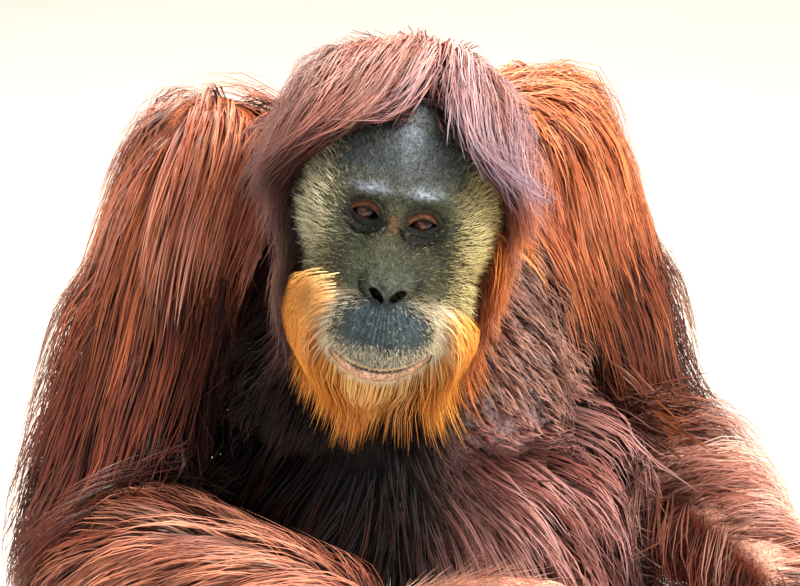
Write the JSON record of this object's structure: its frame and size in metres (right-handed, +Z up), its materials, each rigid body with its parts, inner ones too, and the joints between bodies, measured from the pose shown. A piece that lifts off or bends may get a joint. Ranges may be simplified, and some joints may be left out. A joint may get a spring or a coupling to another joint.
{
  "type": "orangutan",
  "caption": "Seated long-haired orangutan with a bare dark face and an orange beard, one forearm across its lap and the other hand over its knee, as a life-size model.",
  "frame": {"origin": "middle of the flat under the rump, on the floor", "axes": "+Z up, -Y the way the animal faces, +X its left"},
  "size_m": [0.7662, 0.7096, 0.7704],
  "materials": {
    "coat_head": "fibrous, satin",
    "coat_back": "fibrous, satin",
    "coat_belly": "fibrous, satin",
    "coat_arm": "fibrous, satin",
    "coat_leg": "fibrous, satin",
    "bare_skin": "matt, finely wrinkled",
    "eye": "wet gloss"
  },
  "bodies": {
    "root": {"head": "coat_head", "chest": "coat_back", "belly": "coat_belly", "hips": "coat_back", "ear_left": "bare_skin", "ear_right": "bare_skin", "eye_left": "eye", "eye_right": "eye", "upper_arm_left": "coat_arm", "upper_arm_right": "coat_arm", "forearm_left": "coat_arm", "forearm_right": "coat_arm", "thigh_left": "coat_leg", "thigh_right": "coat_leg", "shin_left": "coat_leg", "shin_right": "coat_leg", "hand_left": "bare_skin", "hand_right": "bare_skin", "foot_left": "bare_skin", "foot_right": "bare_skin"}
  },
  "joints": []
}
